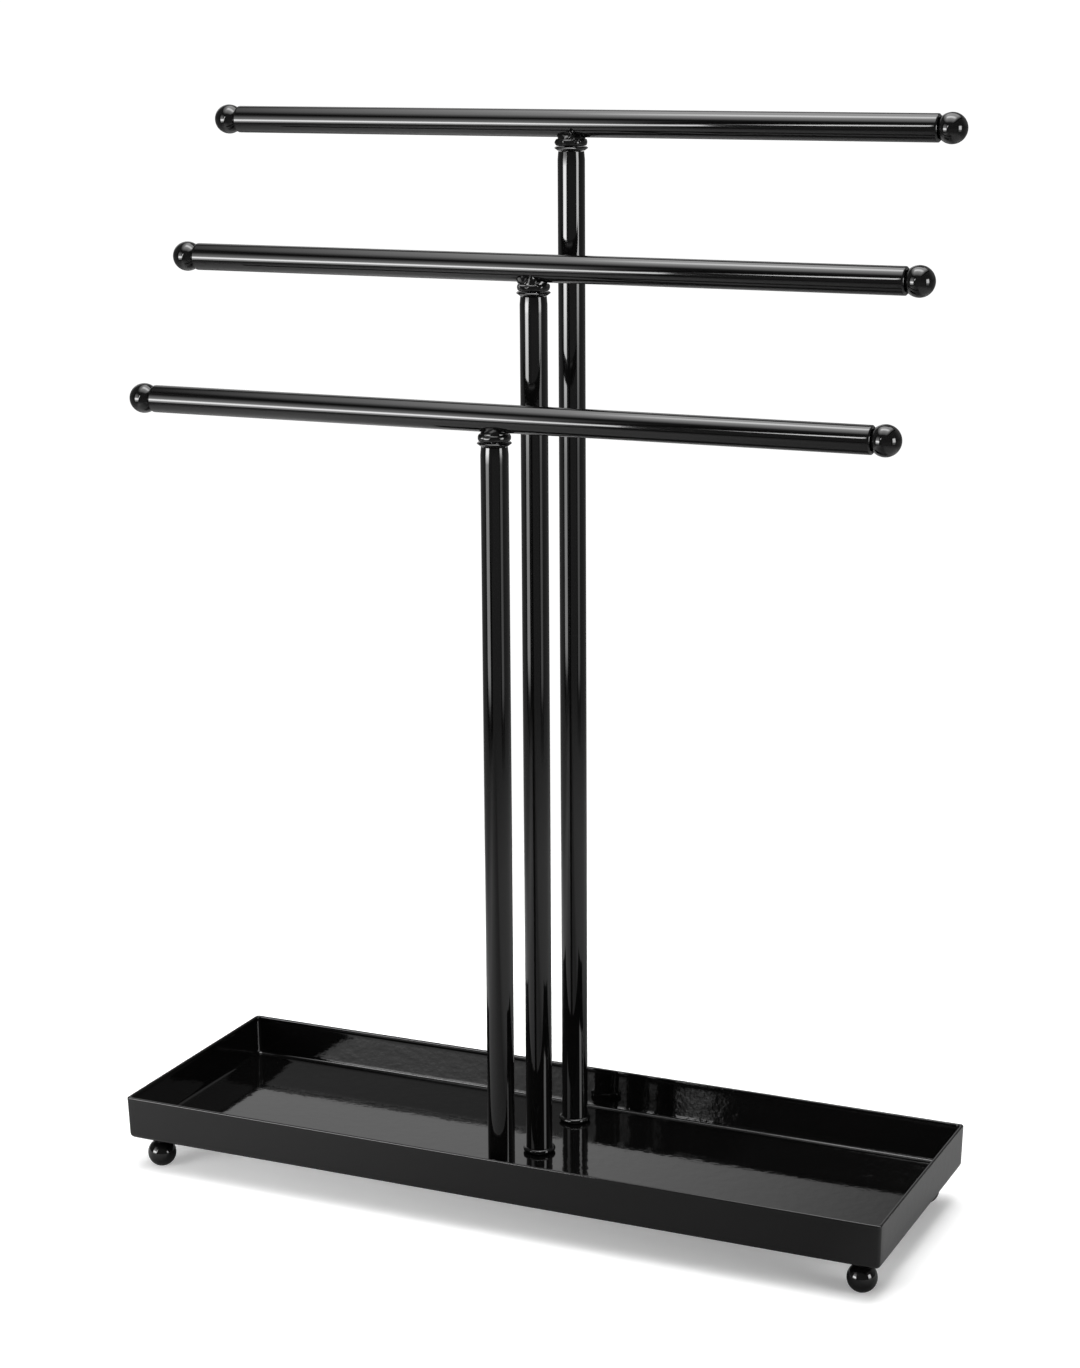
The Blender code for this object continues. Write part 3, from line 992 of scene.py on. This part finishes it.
def soft_box(name, place, aim, size, patches):
    """A panel of this size at its place, which looks at the aim."""
    half_x, half_y = size[0] / 2, size[1] / 2
    mesh = bpy.data.meshes.new(name)
    corners = [(-half_x, -half_y, 0), (half_x, -half_y, 0), (half_x, half_y, 0), (-half_x, half_y, 0)]
    mesh.from_pydata(corners, [], [(0, 1, 2, 3)])
    mesh.materials.append(glow_finish(name, size, patches))
    back = np.array(aim, float) - np.array(place, float)
    back = back / np.linalg.norm(back)
    side = np.cross((0, 1, 0) if abs(back[2]) > 0.95 else (0, 0, 1), back)
    side = side / np.linalg.norm(side)
    up = np.cross(back, side)
    box = bpy.data.objects.new(name, mesh)
    box.matrix_world = Matrix.Translation(place) @ Matrix(np.column_stack([side, up, back]).tolist()).to_4x4()
    box.visible_camera = False
    bpy.context.scene.collection.objects.link(box)
    return box


def round_table_place(azimuth, distance, height):
    """A point at an angle from straight ahead of the stand, at a distance and a height."""
    angle = math.radians(azimuth)
    return (distance * math.sin(angle), -distance * math.cos(angle), height)


# %% Left soft box
left_size = (1.50, 1.60)
left_core = (
    17.0,
    ((-0.66, 0.0), (-0.58, 1.0), (0.30, 0.9), (0.52, 0.0)),
    ((-0.54, 0.0), (-0.44, 0.5), (-0.37, 0.9), (-0.25, 1.0), (-0.18, 0.45), (-0.12, 0.12), (-0.02, 0.0)),
    ((-0.58, 0.62), (-0.51, 0.50), (-0.46, 0.33), (-0.41, 0.17), (-0.36, 0.04), (-0.32, 0.0)),
)
left_spill = (
    5.0,
    ((-0.33, 0.0), (-0.22, 1.0), (0.36, 1.0), (0.52, 0.0)),
    (
        (-0.75, 0.0), (-0.72, 0.9), (-0.35, 1.0), (-0.20, 0.6), (0.05, 0.6),
        (0.22, 0.45), (0.45, 0.18), (0.75, 0.0)
    ),
    None,
)
soft_box(
    "left_box", round_table_place(-34, 1.50, 0.58), (0, 0, 0.58), left_size, (left_core, left_spill)
)

# %% Flag
flag_mesh = bpy.data.meshes.new("flag")
flag_corners = [(-0.265, -0.8, 0.10), (0.06, -0.8, 0.10), (0.06, -0.8, 0.50), (-0.265, -0.8, 0.50)]
flag_mesh.from_pydata(flag_corners, [], [(0, 1, 2, 3)])
flag_cloth = Recipe(bpy.data.materials.new("flag_cloth"))
flag_glow = 0.15
flag_mesh.materials.append(
    flag_cloth.send(flag_cloth.node("ShaderNodeEmission", None, {"Strength": flag_glow}))
)
flag = bpy.data.objects.new("flag", flag_mesh)
flag.visible_camera = False
bpy.context.scene.collection.objects.link(flag)

# %% Right soft box and ceiling
right_patch = (
    12.0,
    ((-0.38, 0.0), (-0.26, 1.0), (0.14, 1.0), (0.26, 0.0)),
    ((-0.50, 0.0), (-0.48, 0.11), (-0.28, 0.13), (-0.18, 0.3), (-0.08, 0.9), (0.35, 1.0), (0.50, 0.0)),
    None,
)
soft_box("right_box", round_table_place(76, 1.50, 0.32), (0, 0, 0.32), (0.80, 1.10), (right_patch,))
ceiling_sheet = (
    4.6,
    (
        (-0.65, 0.0), (-0.40, 1.0), (0.29, 1.0), (0.40, 0.68), (0.49, 0.45), (0.56, 0.28), (0.66, 0.05),
        (0.74, 0.0)
    ),
    ((-0.85, 0.0), (-0.50, 0.55), (-0.22, 1.0), (0.33, 0.85), (0.60, 0.6), (0.85, 0.0)),
    None,
)
ceiling_lamp = (
    7.0,
    ((-0.50, 0.0), (-0.30, 1.0), (0.20, 1.0), (0.27, 0.6), (0.34, 0.0)),
    ((-0.18, 0.0), (-0.06, 1.0), (0.06, 1.0), (0.18, 0.0)),
    None,
)
soft_box("ceiling", (0, 0, 1.15), (0, 0, 0), (1.50, 1.80), (ceiling_sheet, ceiling_lamp))
